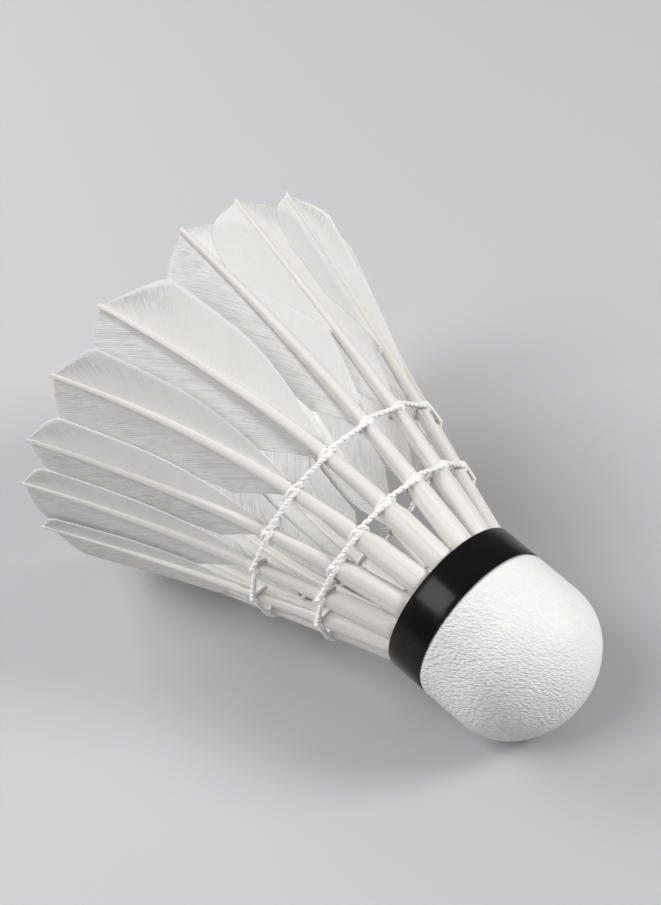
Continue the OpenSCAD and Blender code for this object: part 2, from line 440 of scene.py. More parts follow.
def makeThreadFinish():
    look = threadLook
    material, surface, start = newMaterial("lashingThread")
    fibre = placeNoise(start, look["fibreNoise"])
    dirt = placeNoise(start, look["dirtNoise"])
    fibreMask = fibre.clipped(*look["fibreBand"]) * look["fibreShade"]
    mask = fibreMask + dirt.clipped(*look["dirtBand"]) * look["dirtShade"]
    start.feed(surface.inputs["Base Color"], mask.between(look["white"], look["dull"]))
    start.feed(surface.inputs["Roughness"], look["roughness"] + fibre * look["fibreRoughness"])
    start.feed(surface.inputs["Coat Weight"], dirt.clipped(*look["glueBand"]) * look["glue"])
    surface.inputs["Coat Roughness"].default_value = look["glueRoughness"]
    bumped(start, surface, fibre, *look["bump"])
    return material


# leather: white, embossed with short ridges that stand in rows, with painted shade in the hollows of the
# grain
leatherLook = {
    "white": rgb(0.79, 0.79, 0.785),
    # colour of the painted shade in the hollows of the grain
    "hollow": rgb(0.60, 0.60, 0.595),
    "acrossRows": (-0.285, 0.675, 0.680),
    "alongRows": (0.735, 0.610, -0.298),
    "depth": (0.616, -0.414, 0.670),
    "ridge": 0.31,              # spacing and length of the ridges, and how far their rows bend, in mm
    "dash": 0.72,
    "bend": 1.2,
    "bendNoise": (140.0, 3.0),
    "blunt": 0.35,
    "hollowBand": (0.2, 0.75),
    "hollowPaintedShade": 0.6,
    "wearAndLitSide": (0.188, 0.903, 0.386),      # towards the lit side, where the grain's relief and its painted hollow shade are weaker
    "litSideBand": (0.009, -0.005),
    "litSideRelief": 0.3,
    "shadedSideRelief": 0.7,
    "poreNoise": (2600.0, 3.0),
    "poreBand": (0.45, 0.8),
    "poreShade": 0.2,
    "cloudNoise": (130.0, 2.0),
    "cloudBand": (0.5, 0.8),
    "cloudShade": 0.08,
    "roughness": 0.40,
    "hollowRoughness": 0.2,
    "poreRoughness": 0.1,
    "ridgeBump": 0.8,
    "poreBump": 0.35,
    "bump": (1.0, 0.2),
}


def makeLeatherFinish():
    look = leatherLook
    material, surface, start = newMaterial("coverLeather")
    bend = placeNoise(start, look["bendNoise"])
    across = onAxis(start, look["acrossRows"]) + bend * (look["bend"] * mm)
    stretched = start.put("ShaderNodeCombineXYZ", None, {
        0: onAxis(start, look["alongRows"]) / (look["dash"] * mm),
        1: onAxis(start, look["depth"]) / (look["dash"] * mm),
        2: across / (look["ridge"] * mm)})
    sockets = {"Vector": stretched, "Scale": 1.0, "Smoothness": look["blunt"]}
    cells = start.put("ShaderNodeTexVoronoi", {"feature": "SMOOTH_F1"}, sockets)
    pores = placeNoise(start, look["poreNoise"])
    cloud = placeNoise(start, look["cloudNoise"])
    hollow = cells.clipped(*look["hollowBand"])
    shadedSide = onAxis(start, look["wearAndLitSide"]).clipped(*look["litSideBand"])
    reliefAndShade = look["litSideRelief"] + shadedSide * look["shadedSideRelief"]
    poreMask = pores.clipped(*look["poreBand"]) * look["poreShade"]
    cloudMask = cloud.clipped(*look["cloudBand"]) * look["cloudShade"]
    # painted shade in the grain's hollows, deeper on the side away from the light
    mask = hollow * reliefAndShade * look["hollowPaintedShade"] + poreMask + cloudMask
    start.feed(surface.inputs["Base Color"], mask.between(look["white"], look["hollow"]))
    rough = look["roughness"] + hollow * look["hollowRoughness"] + pores * look["poreRoughness"]
    start.feed(surface.inputs["Roughness"], rough)
    height = ((1 - hollow) * look["ridgeBump"] + pores * look["poreBump"]) * reliefAndShade
    bumped(start, surface, height, *look["bump"])
    return material


# tape: black glossy film with faint handling marks
tapeLook = {
    "black": rgb(0.005, 0.005, 0.0055),
    "wearAndLitSide": rgb(0.020, 0.020, 0.021),
    "smearNoise": (160.0, 4.0, 0.6, 0.6),
    "smearBand": (0.5, 0.8),
    "smearShade": 0.5,
    "dustNoise": (1800.0, 2.0),
    "dustBand": (0.66, 0.8),
    "dustShade": 0.5,
    "roughness": 0.16,
    "matBand": (0.4, 0.8),
    "matRoughness": 0.14,
    "specular": 0.15,
    "smearBump": 0.7,
    "dustBump": 0.15,
    "bump": (0.12, 0.05),
}


def makeTapeFinish():
    look = tapeLook
    material, surface, start = newMaterial("rimFilm")
    smear = placeNoise(start, look["smearNoise"])
    dust = placeNoise(start, look["dustNoise"])
    smearMask = smear.clipped(*look["smearBand"]) * look["smearShade"]
    mask = smearMask + dust.clipped(*look["dustBand"]) * look["dustShade"]
    start.feed(surface.inputs["Base Color"], mask.between(look["black"], look["wearAndLitSide"]))
    mat = smear.clipped(*look["matBand"]) * look["matRoughness"]
    start.feed(surface.inputs["Roughness"], look["roughness"] + mat)
    surface.inputs["Specular IOR Level"].default_value = look["specular"]
    bumped(start, surface, smear * look["smearBump"] + dust * look["dustBump"], *look["bump"])
    return material


# cork: ground grains pressed together, with dark pits
corkLook = {
    "light": rgb(0.56, 0.37, 0.20),
    "dark": rgb(0.33, 0.19, 0.09),
    "pit": rgb(0.09, 0.045, 0.02),
    "grains": 850.0,
    "seamBand": (0.0, 0.08),
    "seamShade": 0.5,
    "pitNoise": (900.0, 4.0),
    "pitBand": (0.62, 0.7),
    "pitShade": 0.8,
    "roughness": 0.8,
    "pitRoughness": 0.15,
    "seamRise": (0.0, 0.1),
    "pitFall": (0.6, 0.72),
    "pitBump": 0.6,
    "bump": (0.6, 0.12),
}


def makeCorkFinish():
    look = corkLook
    material, surface, start = newMaterial("pressedCork")
    place = {"Vector": placeOf(start), "Scale": look["grains"]}
    grains = start.put("ShaderNodeTexVoronoi", {"feature": "F1"}, place, 1)
    seams = start.put("ShaderNodeTexVoronoi", {"feature": "DISTANCE_TO_EDGE"}, place)
    shade = start.put("ShaderNodeSeparateColor", None, {0: grains})
    pits = placeNoise(start, look["pitNoise"])
    body = shade.between(look["light"], look["dark"])
    seamMask = (1 - seams.clipped(*look["seamBand"])) * look["seamShade"]
    holes = seamMask + pits.clipped(*look["pitBand"]) * look["pitShade"]
    start.feed(surface.inputs["Base Color"], holes.clipped(0.0, 1.0).between(body, look["pit"]))
    start.feed(surface.inputs["Roughness"], look["roughness"] + pits * look["pitRoughness"])
    height = seams.clipped(*look["seamRise"]) - pits.clipped(*look["pitFall"]) * look["pitBump"]
    bumped(start, surface, height, *look["bump"])
    return material


webFinish = makeWebFinish()
quillFinish = makeQuillFinish()
threadFinish = makeThreadFinish()
leatherFinish = makeLeatherFinish()
tapeFinish = makeTapeFinish()
corkFinish = makeCorkFinish()
print("finishes made")

# base: cork node keeps its own shape; leather and film are turned again with a finer outline
base = {
    "radius": 13.0,
    "straight": 14.3,
    "dome": 11.4,
    "shoulder": 10.26,
    "leather": 0.8,
    "film": 0.3,
    "filmWidth": 6.2,
    "seat": 0.05,
    "roll": 1.2,
    "neck": (0.05, 3.0),        # depths of the first rings of the neck under the film
    "neckEnd": 0.25,
    "turns": 192,
    "rollSteps": 6,
    "wallSteps": 8,
    "shoulderSteps": 26,
    "noseSteps": 8,
    "coverCrease": 50,
    "filmCuts": 2,
    "filmBevel": 0.06,
    "bevelSteps": 2,
    "bevelFrom": 60,
    "filmCrease": 40,
}


def baseOutline():
    radius, straight, dome, shoulder, roll = (
        base[key] for key in ("radius", "straight", "dome", "shoulder", "roll"))
    shoulderX = radius - shoulder
    noseRadius = (shoulderX ** 2 + dome ** 2 - shoulder ** 2) / (2 * (dome - shoulder))
    noseZ = noseRadius - (straight + dome)
    meet = math.asin(shoulderX / (noseRadius - shoulder))
    under = radius - base["film"] - base["seat"]
    edgeZ = -base["filmWidth"] - base["seat"]
    rollX = radius - roll
    rollZ = edgeZ - math.sqrt(roll ** 2 - (under - rollX) ** 2)
    points = [(under, -depth) for depth in base["neck"]]
    points.append((under, edgeZ + base["neckEnd"]))
    first = math.acos((under - rollX) / roll)
    for i in range(base["rollSteps"] + 1):
        a = first * (1 - i / base["rollSteps"])
        points.append((rollX + roll * math.cos(a), rollZ + roll * math.sin(a)))
    for i in range(1, base["wallSteps"] + 1):
        points.append((radius, rollZ + (-straight - rollZ) * i / base["wallSteps"]))
    for i in range(1, base["shoulderSteps"] + 1):
        a = (math.pi / 2 - meet) * i / base["shoulderSteps"]
        points.append((shoulderX + shoulder * math.cos(a), -straight - shoulder * math.sin(a)))
    for i in range(1, base["noseSteps"] + 1):
        a = meet * (1 - i / base["noseSteps"])
        points.append((noseRadius * math.sin(a), noseZ - noseRadius * math.cos(a)))
    return points


def startAtPoint(point):
    only()
    bpy.ops.mesh.primitive_plane_add(size=1 * mm)
    openAll()
    bpy.ops.mesh.merge(type="CENTER")
    bpy.ops.transform.translate(value=point)


def makeLeatherCover():
    outline = [Vector((x, 0, z)) * mm for x, z in baseOutline()]
    startAtPoint(outline[0])
    for last, point in zip(outline, outline[1:]):
        bpy.ops.mesh.extrude_region_move(TRANSFORM_OT_translate={"value": point - last})
    bpy.ops.mesh.select_all(action="SELECT")
    bpy.ops.mesh.spin(steps=base["turns"], angle=2 * math.pi, center=(0, 0, 0), axis=(0, 0, 1))
    closeEdit()
    cover = named("leatherCover")
    faceOutwards(cover)
    neck = base["leather"] - base["film"] - base["seat"]
    useModifier(cover, "SOLIDIFY", thickness=neck * mm, offset=-1.0)
    layDown(cover)
    smooth(cover, base["coverCrease"])
    dress(cover, leatherFinish, "leather", "leather_cover")


def makeRimTape():
    only()
    bpy.ops.mesh.primitive_cylinder_add(
        vertices=base["turns"], radius=base["radius"] * mm, depth=base["filmWidth"] * mm,
        end_fill_type="NOTHING", location=(0, 0, -base["filmWidth"] / 2 * mm))
    tape = named("rimTape")
    openAll()
    bpy.ops.mesh.subdivide(number_cuts=base["filmCuts"])
    closeEdit()
    useModifier(tape, "SOLIDIFY", thickness=base["film"] * mm, offset=-1.0)
    useModifier(
        tape, "BEVEL", width=base["filmBevel"] * mm, segments=base["bevelSteps"],
        limit_method="ANGLE", angle_limit=math.radians(base["bevelFrom"]))
    layDown(tape)
    smooth(tape, base["filmCrease"])
    dress(tape, tapeFinish, "tape", "rim_tape")


makeLeatherCover()
makeRimTape()
corkNode = frame["nodes"]["cork_core"]
corkNode.data.materials.clear()
corkNode.data.materials.append(corkFinish)
print("base made")

# quills: a straight rod of rings, then drawn to the feather's own line and thickness
quill = {
    "rootWidth": 3.3,
    "rootDepth": 3.4,
    "tipWidth": 0.85,
    "tipDepth": 0.75,
    "taper": 1.3,
    "peg": 8.0,
    "pegTop": 1.0,
    "pegFoot": 0.8,
    "pegRings": (-4.0, -0.4),
    "foot": 0.02,
    "sides": 20,
    "rings": 46,
    "slant": 0.3,
    "tipCut": 0.3,
    "tipNear": 0.01,
    "coat": 0.45,               # glue along both sides of a root, up to the lower lashing
    "coatTop": 11.2,
    "coatFade": 2.0,
    "square": 0.25,             # the round root turns a little square up to this height
    "squareBy": 30,
    "groove": 0.4,              # along the inner face, as a share of the half depth
    "grooveHalf": 0.5,
    "ripple": 0.07,             # uneven width along the shaft
    "rippleRate": 0.12,
    "rippleApart": 7.3,
    "rippleFloor": 0.2,
    "rippleBy": 12,
    "flute": 0.10,              # shallow hollow along both flanks
    "fluteAt": 0.1,
    "fluteHalf": 0.22,
    "fluteBy": 20,
    "facet": 0.03,              # flat faces that fade out above the root
    "facets": 5,
    "facetTo": 30,
    "crease": 55,
}


def thin(z):
    return max(0.0, 1 - along(z)) ** quill["taper"]


def quillWidth(z):
    return quill["tipWidth"] + (quill["rootWidth"] - quill["tipWidth"]) * thin(z)


def quillDepth(z):
    return quill["tipDepth"] + (quill["rootDepth"] - quill["tipDepth"]) * thin(z)


def quillCoat(z):
    share = min(1.0, max(0.0, (quill["coatTop"] - z) / quill["coatFade"]))
    return quill["coat"] * share ** 2 * (3 - 2 * share)


def besideQuill(n, z, side, out):
    turn = featherTurn(n) + lineTurn(n, z)
    return onRing(lineRadius(z) + out, turn, z) + Vector((-math.sin(turn), math.cos(turn), 0)) * (side * mm)


def makeQuillRod():
    foot = quill["foot"]
    shaft = skirt["height"] - quill["tipCut"] - foot
    heights = [-quill["peg"], *quill["pegRings"], foot]
    heights += [foot + shaft * i / quill["rings"] for i in range(1, quill["rings"] + 1)]
    only()
    bpy.ops.mesh.primitive_circle_add(
        vertices=quill["sides"], radius=1 * mm, fill_type="NGON", location=(0, 0, heights[0] * mm))
    rod = named("quillRod")
    applyPlace()
    openAll()
    for low, high in zip(heights, heights[1:]):
        bpy.ops.mesh.extrude_region_move(TRANSFORM_OT_translate={"value": (0, 0, (high - low) * mm)})
    closeEdit()
    faceOutwards(rod)
    turnFaces(rod)
    return rod


def quillShape(n):
    def shape(co):
        z = co.z / mm
        around = math.atan2(co.y, co.x)
        c = math.cos(around)
        s = math.sin(around)
        if z < 0:
            r = quill["pegTop"] + (quill["pegFoot"] - quill["pegTop"]) * -z / quill["peg"]
            return besideQuill(n, z, r * c, r * s)
        square = 1.0 - quill["square"] * min(1.0, z / quill["squareBy"])
        side = (quillWidth(z) / 2 + quillCoat(z)) * math.copysign(abs(c) ** square, c)
        out = quillDepth(z) / 2 * math.copysign(abs(s) ** square, s)
        if s < 0 and abs(c) < quill["grooveHalf"]:
            out *= 1 - quill["groove"] * (1 - thin(z)) * (1 - abs(c) / quill["grooveHalf"])
        spot = Vector((n * quill["rippleApart"], z * quill["rippleRate"], c))
        ripple = noise.noise(spot) * quill["ripple"] * min(1.0, quill["rippleFloor"] + z / quill["rippleBy"])
        hollow = math.exp(-((s - quill["fluteAt"]) / quill["fluteHalf"]) ** 2)
        flute = quill["flute"] * hollow * min(1.0, z / quill["fluteBy"])
        facet = quill["facet"] * math.cos(quill["facets"] * around + n) * max(0.0, 1 - z / quill["facetTo"])
        side *= 1 + ripple - flute + facet
        out *= 1 + facet
        if z > skirt["height"] - quill["tipCut"] - quill["tipNear"]:
            z += quill["slant"] * s
        return besideQuill(n, z, side, out)
    return shape


def makeQuills():
    rod = makeQuillRod()
    for n in feathers:
        piece = rod.copy()
        piece.data = rod.data.copy()
        bpy.context.collection.objects.link(piece)
        piece.name = "quill.%02d" % n
        piece.data.name = piece.name
        streak = piece.data.attributes.new("streak", "FLOAT_VECTOR", "POINT")
        for v, item in zip(piece.data.vertices, streak.data):
            around = math.atan2(v.co.y, v.co.x)
            shift = n * quillLook["apart"]
            item.vector = (math.cos(around) + shift, math.sin(around), v.co.z / mm / skirt["height"])
        warp(piece, quillShape(n))
        layDown(piece)
        smooth(piece, quill["crease"])
        dress(piece, quillFinish, "quill", "quill_%02d" % n)
    bpy.data.objects.remove(rod)


makeQuills()
print("quills made")

# webs: each row of the grid follows one barb from the shaft to where the web is cut
# outer webs stand on the side of the next feather, inner ones on the side of the feather before
web = {
    "barbs": 60,
    "rowsPerBarb": 3,
    "columns": 11,
    "thickness": 0.12,
    "ridge": (-0.035, 0.02, 0.025),
    "ridgeIn": 6,               # ridges are full from a sixth of the way across
    "outerAngle": 39.0,
    "innerAngle": 32.0,
    "droop": 0.012,
    "outerReach": 0.51,
    "innerReach": 0.0,          # share of the gap, if not set by the overlap
    "overlap": 0.15,
    "mostReach": 1.1,
    "outerFall": 3.2,           # how far the cut edge falls from tip to corner, and more at the corner
    "innerFall": 3.2,
    "outerCorner": 1.0,
    "innerCorner": 1.0,
    "cornerPower": 6,
    "outerFoot": 23.23,
    "innerFoot": 22.98,
    "leafShare": 0.55,
    "inShaft": 0.12,
    "bare": 0.35,
    "headRoom": 0.15,
    "firstStep": 0.1,           # steps of the search for a barb's end
    "endStep": 0.03,
    "lift": 2.2,
    "tuck": 0.15,
    "tilt": 0.15,
    "risePower": 1.5,
    "fray": 0.04,
    "frayBy": 2,
    "wave": 0.22,
    "waveRate": (0.09, 0.16),
    "waveSeeds": 50,
    "splits": 0.4,              # chance of a split, its rows, width, start and how many rows it moves
    "splitLow": 4,
    "splitHigh": 14,
    "splitWidth": (0.1, 0.6),
    "splitFrom": 0.6,
    "splitFade": 7,
    "outerLook": (1.0, 0.0),    # scale and shift of the way across, read by the finish, which paints the inner webs' shade and the edge highlight from it
    "innerLook": (1.0, 2.0),
    "over": 99.0,               # barbs rooted above this lie over the feather before
    "overRise": 0.14,
    # brushed-out barbs are given neither the inner webs' painted shade nor the painted edge highlight
    "overLook": (0.34, 0.0),
    "overFrom": 0.12,
    "seat": 0.75,               # how far below the middle of the shaft an inner web is rooted, as a share
    "crease": 60,
    "seed": 400,
    # feathers 8 and 9 carry the skirt on the floor; 2, 3 and 12 are brushed out over the one before
    "lone": {
        # feathers 1 and 2 scale the way across of their outer webs so that the painted edge highlight is
        # left off
        1: {"outerReach": 0.80, "lift": -0.15, "wave": 0.05, "outerLook": (0.9, 0.0),
            "tuck": 1.4, "innerFall": 4.5},
        2: {"outerReach": 0.80, "lift": -0.15, "wave": 0.05, "outerLook": (0.9, 0.0),
            "tuck": 0.8, "innerReach": 0.9, "innerFall": 2.0, "innerCorner": 6.5, "over": 36.0},
        3: {"tuck": 0.8, "wave": 0.05,
            "innerReach": 0.7, "innerFall": 3.9, "innerCorner": 5.0, "over": 32.0},
        8: {"tilt": 0.0, "wave": 0.0},
        9: {"tilt": 0.0, "wave": 0.0},
        11: {"lift": 0.7},
        12: {"lift": 0.4, "tuck": -2.4},
        13: {"innerReach": 0.8, "innerFall": 1.8},
        15: {"splits": 0.0},
        16: {"outerReach": 0.66, "outerFall": 4.8, "lift": 3.0},
    },
}


def webSize(n, key):
    return web["lone"].get(n, {}).get(key, web[key])


def sideSize(n, way, key):
    return webSize(n, ("outer" if way > 0 else "inner") + key)


def outerReach(n):
    return webSize(n, "outerReach") * spacing


def gapBefore(n):
    before = (n - 2) % skirt["count"] + 1
    return before, spacing - (tipNudge[before] - tipNudge[n])


def reachAt(n, way, z):
    if way > 0:
        return outerReach(n)
    before, gap = gapBefore(n)
    local = spacing + (gap - spacing) * along(z) ** 2
    own = webSize(n, "innerReach") * local
    return own or local - outerReach(before) + web["overlap"] * spacing


def leafWidth(z):
    share = (z - skirt["webFoot"]) / ((skirt["height"] - skirt["webFoot"]) * web["leafShare"])
    share = min(1.0, max(0.0, share))
    return 1 - (1 - share) ** 2


def barbHeight(rootZ, run, slope):
    return rootZ + run * slope * (1 - web["droop"] * run)


def barbEnd(n, way, rootZ, startU, slope):
    fall = sideSize(n, way, "Fall")
    cornerFall = sideSize(n, way, "Corner")
    u = startU + web["firstStep"]
    while True:
        z = barbHeight(rootZ, u - startU, slope)
        full = reachAt(n, way, z) * lineRadius(z) - startU
        q = (u - startU) / full
        top = skirt["height"] - web["bare"] - fall * q - cornerFall * q ** web["cornerPower"]
        edge = leafWidth(z) if way > 0 else 1.0
        if q > edge or z > top:
            return u
        u += web["endStep"]


def barbLines(n, way, dice):
    slope = 1 / math.tan(math.radians(sideSize(n, way, "Angle")))
    rows = web["barbs"] * web["rowsPerBarb"]
    foot = sideSize(n, way, "Foot")
    head = skirt["height"] - web["bare"] - web["headRoom"]
    lines = []
    fray = 0.0
    for i in range(rows + 1):
        if i % web["rowsPerBarb"] == 0:
            fray = dice.uniform(-1, 1) * web["fray"]
        rootZ = foot + (head - foot) * i / rows
        startU = quillWidth(rootZ) / 2 - web["inShaft"]
        end = barbEnd(n, way, rootZ, startU, slope)
        lines.append((rootZ, startU, end + fray * min(1, (end - startU) / web["frayBy"]), slope))
    return lines


def webShape(n, way, lines, splits, over, dice):
    rows = len(lines) - 1
    rise = webSize(n, "lift") if way > 0 else -webSize(n, "tuck")
    rise *= 1 + dice.uniform(-1, 1) * webSize(n, "tilt")
    seed = dice.uniform(0, web["waveSeeds"])
    rateZ, rateU = web["waveRate"]

    def shape(co):
        t = co.x / mm + 0.5
        i = min(rows, max(0, round((co.y / mm + 0.5) * rows)))
        rootZ, startU, endU, slope = lines[i]
        u = startU + (endU - startU) * t
        part = 0.0
        for at, width, start in splits:
            off = i - at - 0.5
            fade = math.exp(-abs(off) / web["splitFade"])
            part += math.copysign(width, off) * fade * max(0.0, t - start) ** 2
        z = barbHeight(rootZ, u - startU, slope) + part
        r = lineRadius(z)
        q = min(web["mostReach"], max(0.0, (u - startU) / (reachAt(n, way, z) * r - startU)))
        ridge = web["ridge"][i % web["rowsPerBarb"]] * min(1.0, web["ridgeIn"] * t)
        wave = noise.noise(Vector((seed, z * rateZ, u * rateU))) * webSize(n, "wave") * q
        height = web["overRise"] if i > over else rise
        out = height * q ** web["risePower"] * r / skirt["tipRadius"] + ridge + wave
        if way < 0 and i <= over:
            out -= web["seat"] * quillDepth(z) / 2
        turn = featherTurn(n) + lineTurn(n, z) + way * u / r
        return onRing(r + out, turn, z)
    return shape


def cutSplits(sheet, splits, rows):
    only(sheet)
    bpy.ops.object.mode_set(mode="EDIT")
    bpy.ops.mesh.select_mode(type="FACE")
    bpy.ops.mesh.select_all(action="DESELECT")
    closeEdit()
    for face in sheet.data.polygons:
        row = (face.center.y / mm + 0.5) * rows
        t = face.center.x / mm + 0.5
        face.select = any(at < row < at + 1 and t > start for at, _, start in splits)
    bpy.ops.object.mode_set(mode="EDIT")
    bpy.ops.mesh.delete(type="FACE")
    bpy.ops.mesh.select_mode(type="VERT")
    closeEdit()


def makeWeb(n, way, dice):
    rows = web["barbs"] * web["rowsPerBarb"]
    only()
    bpy.ops.mesh.primitive_grid_add(x_subdivisions=web["columns"], y_subdivisions=rows, size=1 * mm)
    sheet = named("web")
    splits = []
    if way < 0 and dice.random() < webSize(n, "splits"):
        at = dice.randint(web["splitLow"], web["barbs"] - web["splitHigh"]) * web["rowsPerBarb"]
        splits.append((at, dice.uniform(*web["splitWidth"]), web["splitFrom"]))
    lines = barbLines(n, way, dice)
    over = rows
    if way < 0:
        over = sum(rootZ < webSize(n, "over") for rootZ, _, _, _ in lines) - 1
        splits.append((over, 0.0, web["overFrom"]))
    cutSplits(sheet, splits, rows)
    warp(sheet, webShape(n, way, lines, splits, over, dice))
    look = sideSize(n, way, "Look")
    for corner in sheet.data.uv_layers["UVMap"].data:
        scale, shift = web["overLook"] if corner.uv.y * rows > over + 0.5 else look
        corner.uv.x = corner.uv.x * scale + shift
    if way < 0:
        turnFaces(sheet)
    useModifier(sheet, "SOLIDIFY", thickness=web["thickness"] * mm, offset=0.0)
    return sheet


# down: bare barb stubs left on the shaft below the web, longer towards the web
down = {
    "low": 12.6,
    "step": 0.27,
    "count": 44,
    "sides": 3,
    "radius": 0.06,
    "point": 0.3,
    "short": 0.8,
    "long": 3.2,
    "growth": 4,
    "grown": (0.2, 1.0),
    "length": (0.6, 1.4),
    "slope": (0.7, 1.3),
    "out": (-0.3, 0.45),
    "inShaft": 0.1,
    "rise": 0.2,
}


def makeDown(n, way, dice):
    only()
    bpy.ops.mesh.primitive_cone_add(
        vertices=down["sides"], radius1=down["radius"] * mm, radius2=down["point"] * down["radius"] * mm,
        depth=1 * mm, location=(0.5 * mm, 0, 0), rotation=(0, math.pi / 2, 0))
    stubs = named("down")
    applyPlace()
    useModifier(
        stubs, "ARRAY", count=down["count"], use_relative_offset=False, use_constant_offset=True,
        constant_offset_displace=(0, 0, down["step"] * mm))
    hairs = []
    for i in range(down["count"]):
        grown = (i / down["count"]) ** down["growth"]
        length = down["short"] + (down["long"] - down["short"]) * grown * dice.uniform(*down["grown"])
        length *= dice.uniform(*down["length"])
        hairs.append((length, dice.uniform(*down["slope"]), dice.uniform(*down["out"])))

    def shape(co):
        i = min(down["count"] - 1, max(0, round(co.z / mm / down["step"])))
        length, slope, out = hairs[i]
        run = co.x / mm * length
        rootZ = down["low"] + i * down["step"]
        z = rootZ + run * slope + (co.z / mm - i * down["step"])
        side = way * (quillWidth(rootZ) / 2 - down["inShaft"] + run)
        return besideQuill(n, z, side, out * run + co.y / mm + down["rise"])
    warp(stubs, shape)
    if way > 0:
        turnFaces(stubs)
    return stubs


def makeVanes():
    for n in feathers:
        dice = random.Random(web["seed"] + n)
        parts = [makeWeb(n, 1, dice), makeWeb(n, -1, dice), makeDown(n, 1, dice), makeDown(n, -1, dice)]
        only(*parts)
        bpy.ops.object.join()
        vane = named("vane.%02d" % n)
        layDown(vane)
        smooth(vane, web["crease"])
        dress(vane, webFinish, "web", "vane_%02d" % n)


makeVanes()
print("vanes made")

# lashings: one strand takes a full turn round each quill, a second one lies over it there
# and is twisted with it between the quills
lashing = {
    "rows": {"threadLower": (11.5, "thread_lower"), "threadUpper": (22.0, "thread_upper")},
    "radius": 0.28,
    "plies": 3,
    "plySides": 12,
    "lobe": 0.24,           # depth of the grooves between the plies, as a share
    "pitch": 1.15,
    "swell": 1.04,          # thickness along the strand, and how it varies
    "swellVary": 0.12,
    "swellRate": 0.9,
    "air": 0.02,
    "leave": 14,            # where a strand leaves a quill, in degrees from its outer face
    "turnStep": 17,
    "climbFrom": 120,       # the turn climbs behind the quill, over so many degrees
    "climbOver": 120,
    "turnGap": 0.46,
    "laidStep": 7,
    "over": 0.06,
    "step": 0.14,
    "lay": 1.25,            # length of one turn of the two strands about each other
    "close": 0.9,
    "spanSteps": 30,
    "crease": 70,
}


def roundQuill(n, z, degrees, away):
    reach = lashing["radius"] + lashing["air"] + away
    a = math.radians(degrees)
    side = (quillWidth(z) / 2 + reach) * math.sin(a)
    return besideQuill(n, z, side, (quillDepth(z) / 2 + reach) * math.cos(a))


def turningPoints(n, rowZ):
    points = []
    for w in range(-lashing["leave"], 361 + lashing["leave"], lashing["turnStep"]):
        climb = min(1.0, max(0.0, (w - lashing["climbFrom"]) / lashing["climbOver"])) - 0.5
        points.append(roundQuill(n, rowZ + lashing["turnGap"] * climb, w, 0))
    return points


def laidPoints(n, rowZ):
    low = rowZ - 1.5 * lashing["turnGap"]
    rise = lashing["turnGap"] / (2 * lashing["leave"])
    points = []
    for w in range(-lashing["leave"], lashing["leave"] + 1, lashing["laidStep"]):
        points.append(roundQuill(n, low + rise * (w + lashing["leave"]), w, lashing["over"]))
    return points


def twistedSpan(fromA, toA, fromB, toB):
    pairA, pairB = [], []
    twists = max(1, round((toA - fromA).length / mm / lashing["lay"]))
    for i in range(1, lashing["spanSteps"]):
        share = i / lashing["spanSteps"]
        a = fromA.lerp(toA, share)
        b = fromB.lerp(toB, share)
        spin = Matrix.Rotation(2 * math.pi * twists * share, 3, toA - fromA)
        ply = spin @ ((a - b) / 2) * lashing["close"]
        pairA.append((a + b) / 2 + ply)
        pairB.append((a + b) / 2 - ply)
    return pairA, pairB


def strandLines(rowZ):
    turning = [turningPoints(n, rowZ) for n in feathers]
    laid = [laidPoints(n, rowZ) for n in feathers]
    lineA, lineB = [], []
    for i, _ in enumerate(turning):
        k = (i + 1) % len(turning)
        pairA, pairB = twistedSpan(turning[i][-1], turning[k][0], laid[i][-1], laid[k][0])
        lineA += turning[i] + pairA
        lineB += laid[i] + pairB
    return lineA, lineB


def evenSteps(points, step):
    even = [points[0]]
    spare = 0.0
    for a, b in zip(points, points[1:] + points[:1]):
        length = (b - a).length
        at = step - spare
        while at <= length:
            even.append(a + (b - a) * (at / length))
            at += step
        spare = length - (at - step)
    return even


def eased(points):
    before = points[-1:] + points[:-1]
    after = points[1:] + points[:1]
    return [(a + 2 * b + c) / 4 for a, b, c in zip(before, points, after)]


def makeProfile():
    only()
    bpy.ops.curve.primitive_bezier_circle_add(radius=1 * mm)
    profile = named("plyProfile")
    profile.data.splines.clear()
    spline = profile.data.splines.new("POLY")
    spline.points.add(lashing["plySides"] - 1)
    for i, point in enumerate(spline.points):
        a = 2 * math.pi * i / lashing["plySides"]
        groove = lashing["lobe"] * (0.5 - 0.5 * math.cos(lashing["plies"] * a))
        r = lashing["radius"] * (1 - groove) * mm
        point.co = (r * math.cos(a), r * math.sin(a), 0, 1)
    spline.use_cyclic_u = True
    return profile


def sweepStrand(points, profile):
    even = eased(eased(evenSteps(points, lashing["step"] * mm)))
    only()
    bpy.ops.curve.primitive_nurbs_path_add(radius=1 * mm)
    strand = named("strand")
    strand.data.splines.clear()
    spline = strand.data.splines.new("POLY")
    spline.points.add(len(even) - 1)
    turns = round(len(even) * lashing["step"] / lashing["pitch"])
    for i, (point, co) in enumerate(zip(spline.points, even)):
        point.co = (co.x, co.y, co.z, 1)
        point.tilt = 2 * math.pi * turns * i / len(even)
        point.radius = lashing["swell"] + lashing["swellVary"] * noise.noise(co / mm * lashing["swellRate"])
    spline.use_cyclic_u = True
    strand.data.dimensions = "3D"
    strand.data.twist_mode = "MINIMUM"
    strand.data.bevel_mode = "OBJECT"
    strand.data.bevel_object = profile
    only(strand)
    bpy.ops.object.convert(target="MESH")
    return bpy.context.object


# glue: a flat bead over the threads on each quill
glue = {
    "detail": 3,
    "long": 1.15,
    "deep": 0.34,
    "tall": 0.80,
    "drop": 0.35,
    "rise": 0.1,
    "round": 0.1,
    "grow": (0.75, 1.05),
    "slip": (-0.25, 0.25),
    "lump": 0.22,
    "lumpRate": 1.7,
    "seeds": 40,
}


